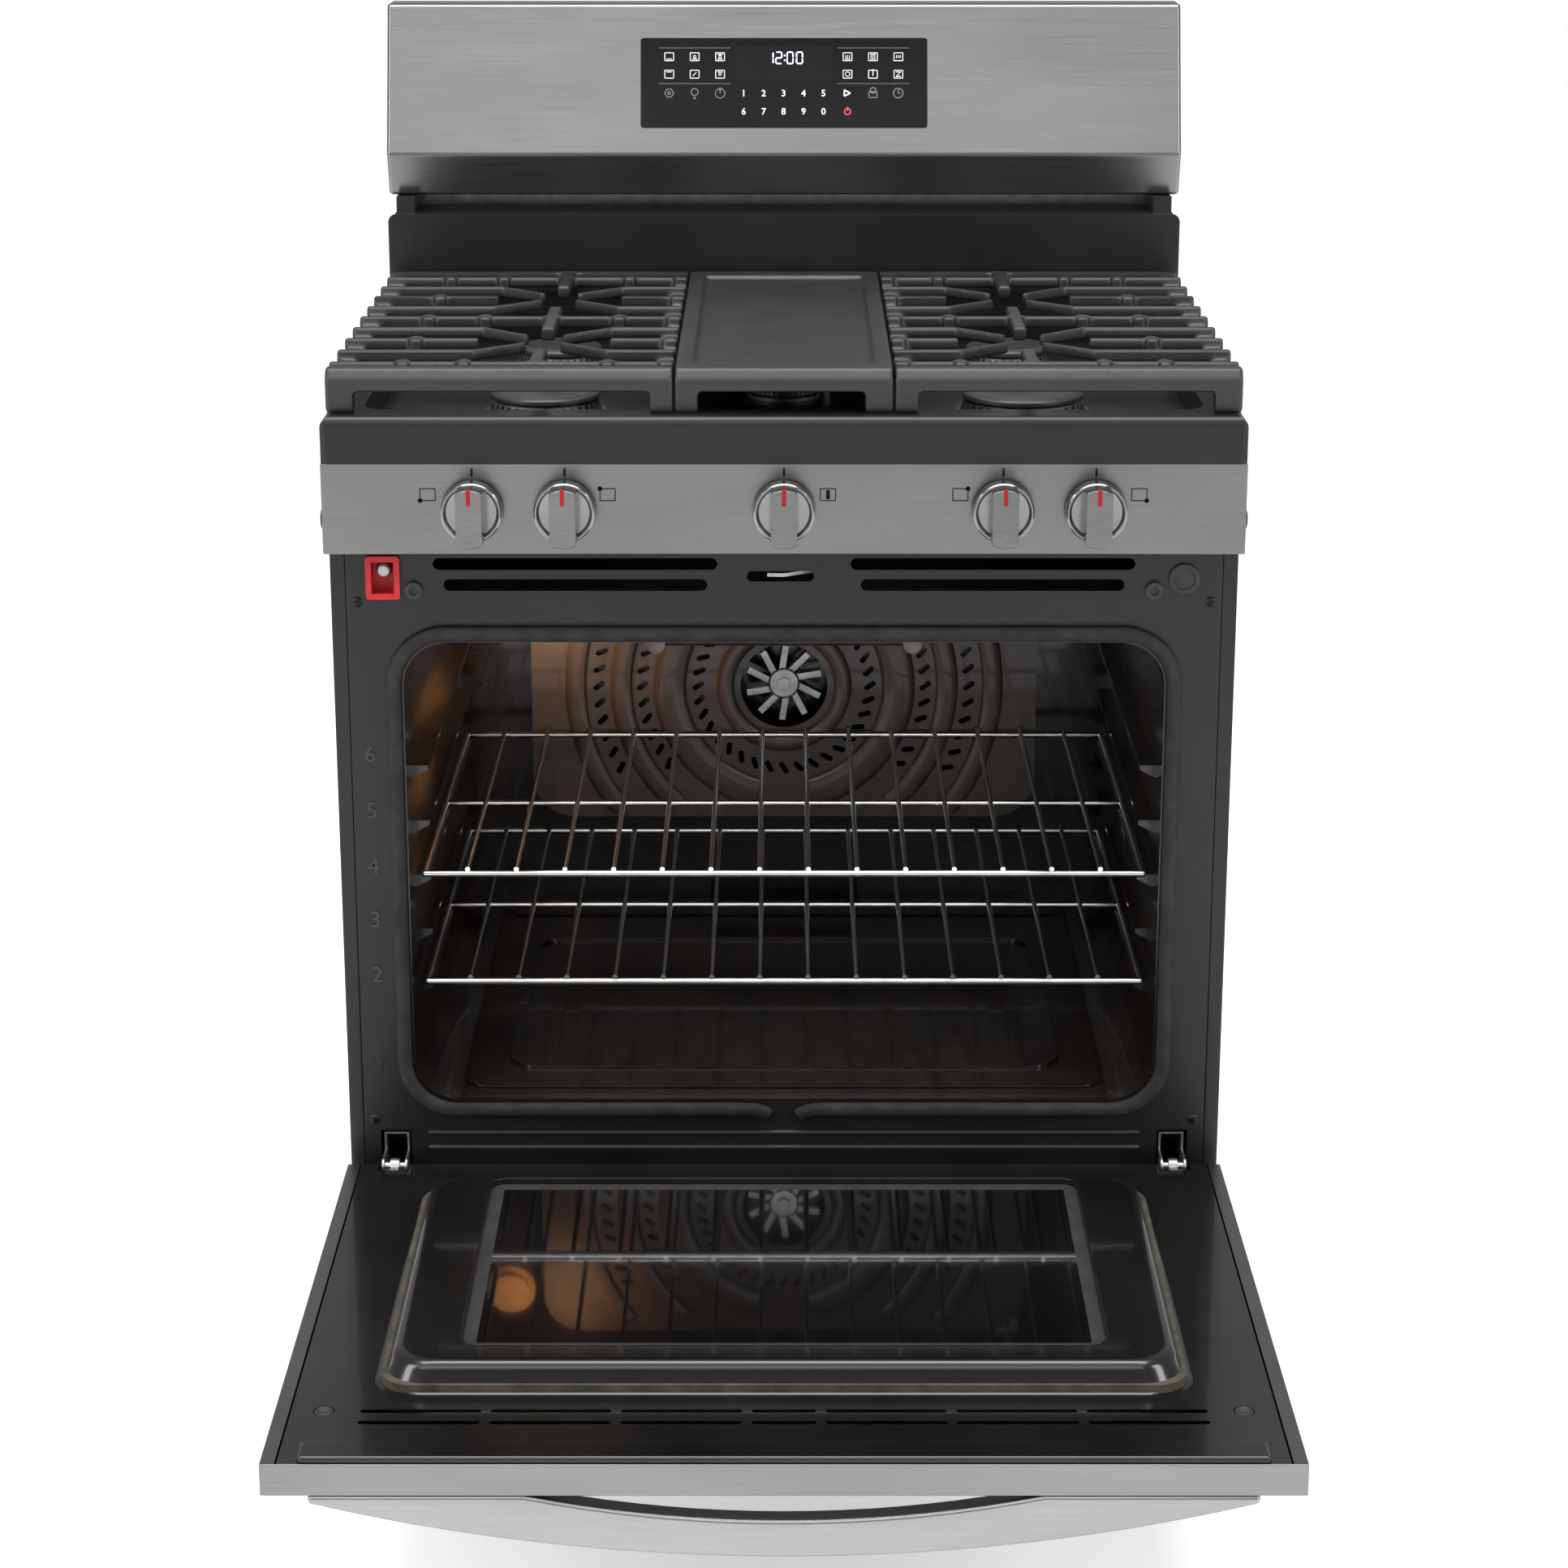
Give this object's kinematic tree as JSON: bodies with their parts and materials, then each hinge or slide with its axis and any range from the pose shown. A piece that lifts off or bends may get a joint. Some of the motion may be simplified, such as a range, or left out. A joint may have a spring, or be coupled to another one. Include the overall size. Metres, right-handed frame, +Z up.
{
  "type": "freestanding gas range",
  "caption": "Slide-out freestanding gas range with round burners, cast grates, a griddle, push-and-turn knobs, a hinged oven door, racks, a fan and a storage drawer.",
  "frame": {"origin": "on the floor, under the middle of the range's box with its oven door open", "axes": "+Z up, +Y to the back, +X to the right seen from the front"},
  "size_m": [0.764, 1.17, 1.196],
  "materials": {
    "stainless": "horizontally brushed stainless steel",
    "handle_metal": "brushed bar",
    "knob_metal": "brushed face with a polished ring",
    "black_enamel": "satin black enamel",
    "porcelain": "glossy dark porcelain enamel on steel",
    "cast_iron": "matt enamelled",
    "burner_metal": "cast, dulled by heat",
    "rack_chrome": "bright wire",
    "baffle_metal": "grey enamel",
    "bare_steel": "zinc plated",
    "brass": "machined",
    "gasket_braid": "woven glass fibre",
    "insulation": "glass wool",
    "black_glass": "gloss black",
    "smoked_glass": "dark window",
    "lamp_glass": "clear",
    "circuit_board": "matt",
    "red_plastic": "moulded",
    "black_rubber": "matt",
    "electrode_ceramic": "unglazed"
  },
  "bodies": {
    "range_body": {"base_frame": "black_enamel", "side_panel_left": "black_enamel", "side_panel_right": "black_enamel", "rear_cover": "bare_steel", "leveling_feet": "black_rubber", "front_frame": "black_enamel", "oven_cavity": "porcelain", "oven_floor_panel": "porcelain", "oven_gasket": "gasket_braid", "fan_baffle": "baffle_metal", "fan_motor": "bare_steel", "oven_lamp": "lamp_glass", "broil_burner": "bare_steel", "bake_burner": "bare_steel", "temperature_sensor": "bare_steel", "insulation_blanket": "insulation", "gas_manifold": "brass", "gas_valves": "brass", "gas_regulator": "bare_steel", "cooktop_deck": "black_enamel", "burner_bases": "burner_metal", "burner_caps": "cast_iron", "spark_electrodes": "electrode_ceramic", "control_panel": "stainless", "console_housing": "stainless", "console_glass": "black_glass", "console_board": "circuit_board", "backsplash_panel": "black_enamel", "switch_housing": "red_plastic", "frame_screws": "bare_steel", "frame_bumpers": "black_rubber", "hinge_receivers": "bare_steel", "drawer_rails": "bare_steel"},
    "door": {"door_skin": "stainless", "door_liner": "porcelain", "door_glass_inner": "smoked_glass", "door_glass_outer": "smoked_glass", "door_insulation": "insulation", "door_handle": "handle_metal", "door_hinge_arms": "bare_steel"},
    "drawer": {"drawer_front": "stainless", "drawer_box": "black_enamel"},
    "upper_rack": {"rack_upper": "rack_chrome"},
    "lower_rack": {"rack_lower": "rack_chrome"},
    "fan": {"convection_fan": "bare_steel"},
    "latch": {"door_latch": "bare_steel"},
    "plunger": {"switch_plunger": "bare_steel"},
    "left_grate": {"grate_left": "cast_iron"},
    "right_grate": {"grate_right": "cast_iron"},
    "griddle": {"griddle_plate": "cast_iron"},
    "stem_1": {"valve_stem_1": "bare_steel"},
    "dial_1": {"knob_1": "knob_metal"},
    "stem_2": {"valve_stem_2": "bare_steel"},
    "dial_2": {"knob_2": "knob_metal"},
    "stem_3": {"valve_stem_3": "bare_steel"},
    "dial_3": {"knob_3": "knob_metal"},
    "stem_4": {"valve_stem_4": "bare_steel"},
    "dial_4": {"knob_4": "knob_metal"},
    "stem_5": {"valve_stem_5": "bare_steel"},
    "dial_5": {"knob_5": "knob_metal"}
  },
  "joints": [
    {"name": "door_hinge", "type": "hinge", "parent": "range_body", "child": "door", "pos_m": [0, -0.038, 0.248], "axis": [-1, 0, 0], "range_deg": [0, 90]},
    {"name": "drawer_slide", "type": "slide", "parent": "range_body", "child": "drawer", "axis": [0, 1, 0], "range_m": [-0.4, 0]},
    {"name": "upper_rack_slide", "type": "slide", "parent": "range_body", "child": "upper_rack", "axis": [0, 1, 0], "range_m": [-0.28, 0]},
    {"name": "lower_rack_slide", "type": "slide", "parent": "range_body", "child": "lower_rack", "axis": [0, 1, 0], "range_m": [-0.28, 0]},
    {"name": "fan_spin", "type": "hinge", "parent": "range_body", "child": "fan", "pos_m": [0, 0.465, 0.547], "axis": [0, 1, 0], "continuous": true},
    {"name": "latch_pivot", "type": "hinge", "parent": "range_body", "child": "latch", "pos_m": [0.03, 0.005, 0.773], "axis": [0, 0, 1], "range_deg": [0, 11]},
    {"name": "switch_press", "type": "slide", "parent": "range_body", "child": "plunger", "axis": [0, 1, 0], "range_m": [0, 0.003], "stiffness_N_per_m": 200},
    {"name": "left_grate_lift", "type": "slide", "parent": "range_body", "child": "left_grate", "axis": [0, 0, 1], "range_m": [0, 0.08]},
    {"name": "right_grate_lift", "type": "slide", "parent": "range_body", "child": "right_grate", "axis": [0, 0, 1], "range_m": [0, 0.08]},
    {"name": "griddle_lift", "type": "slide", "parent": "range_body", "child": "griddle", "axis": [0, 0, 1], "range_m": [0, 0.08]},
    {"name": "knob_1_push", "type": "slide", "parent": "range_body", "child": "stem_1", "axis": [0, 1, 0], "range_m": [0, 0.003], "stiffness_N_per_m": 800},
    {"name": "knob_1_turn", "type": "hinge", "parent": "stem_1", "child": "dial_1", "pos_m": [-0.2555, -0.065, 0.837], "axis": [0, -1, 0], "range_deg": [0, 240]},
    {"name": "knob_2_push", "type": "slide", "parent": "range_body", "child": "stem_2", "axis": [0, 1, 0], "range_m": [0, 0.003], "stiffness_N_per_m": 800},
    {"name": "knob_2_turn", "type": "hinge", "parent": "stem_2", "child": "dial_2", "pos_m": [-0.1795, -0.065, 0.837], "axis": [0, -1, 0], "range_deg": [0, 240]},
    {"name": "knob_3_push", "type": "slide", "parent": "range_body", "child": "stem_3", "axis": [0, 1, 0], "range_m": [0, 0.003], "stiffness_N_per_m": 800},
    {"name": "knob_3_turn", "type": "hinge", "parent": "stem_3", "child": "dial_3", "pos_m": [0, -0.065, 0.837], "axis": [0, -1, 0], "range_deg": [0, 240]},
    {"name": "knob_4_push", "type": "slide", "parent": "range_body", "child": "stem_4", "axis": [0, 1, 0], "range_m": [0, 0.003], "stiffness_N_per_m": 800},
    {"name": "knob_4_turn", "type": "hinge", "parent": "stem_4", "child": "dial_4", "pos_m": [0.1795, -0.065, 0.837], "axis": [0, -1, 0], "range_deg": [0, 240]},
    {"name": "knob_5_push", "type": "slide", "parent": "range_body", "child": "stem_5", "axis": [0, 1, 0], "range_m": [0, 0.003], "stiffness_N_per_m": 800},
    {"name": "knob_5_turn", "type": "hinge", "parent": "stem_5", "child": "dial_5", "pos_m": [0.2555, -0.065, 0.837], "axis": [0, -1, 0], "range_deg": [0, 240]}
  ]
}
